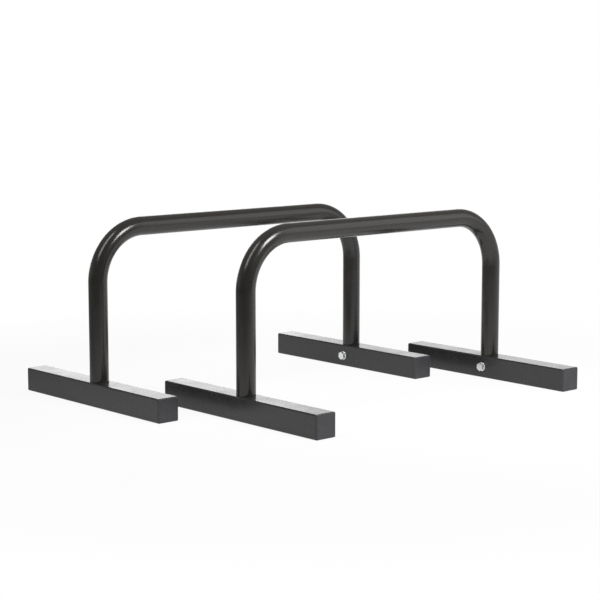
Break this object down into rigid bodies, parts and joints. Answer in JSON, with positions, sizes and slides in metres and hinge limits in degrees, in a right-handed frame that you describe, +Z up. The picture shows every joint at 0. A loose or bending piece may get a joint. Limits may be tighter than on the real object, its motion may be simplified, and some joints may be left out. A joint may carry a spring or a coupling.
{
  "type": "parallette bar",
  "caption": "Low free-standing parallette bars for hand-balancing and dips: a round tube bent into an arch, bolted into square-tube feet with plastic end caps.",
  "frame": {"origin": "on the floor, at the middle of the pair as it stands in the picture", "axes": "+X from the left bar to the right bar along the feet, +Y along the grips from the front feet to the rear feet, +Z up"},
  "size_m": [0.636, 0.726, 0.312],
  "materials": {
    "frame_paint": "satin black powder coat",
    "cap_plastic": "moulded black polyethylene",
    "zinc_steel": "bright zinc plate",
    "insert_steel": "zinc plate"
  },
  "bodies": {
    "left_bar": {"left_bar_grip": "frame_paint", "left_bar_front_foot": "frame_paint", "left_bar_front_outer_cap": "cap_plastic", "left_bar_front_inner_cap": "cap_plastic", "left_bar_front_insert": "insert_steel", "left_bar_front_washer": "zinc_steel", "left_bar_front_bolt": "zinc_steel", "left_bar_rear_foot": "frame_paint", "left_bar_rear_outer_cap": "cap_plastic", "left_bar_rear_inner_cap": "cap_plastic", "left_bar_rear_insert": "insert_steel", "left_bar_rear_washer": "zinc_steel", "left_bar_rear_bolt": "zinc_steel"},
    "right_bar": {"right_bar_grip": "frame_paint", "right_bar_front_foot": "frame_paint", "right_bar_front_outer_cap": "cap_plastic", "right_bar_front_inner_cap": "cap_plastic", "right_bar_front_insert": "insert_steel", "right_bar_front_washer": "zinc_steel", "right_bar_front_bolt": "zinc_steel", "right_bar_rear_foot": "frame_paint", "right_bar_rear_outer_cap": "cap_plastic", "right_bar_rear_inner_cap": "cap_plastic", "right_bar_rear_insert": "insert_steel", "right_bar_rear_washer": "zinc_steel", "right_bar_rear_bolt": "zinc_steel"}
  },
  "joints": [
    {"name": "bar_spacing", "type": "slide", "parent": "left_bar", "child": "right_bar", "axis": [1, 0, 0], "range_m": [0, 0.3]}
  ]
}
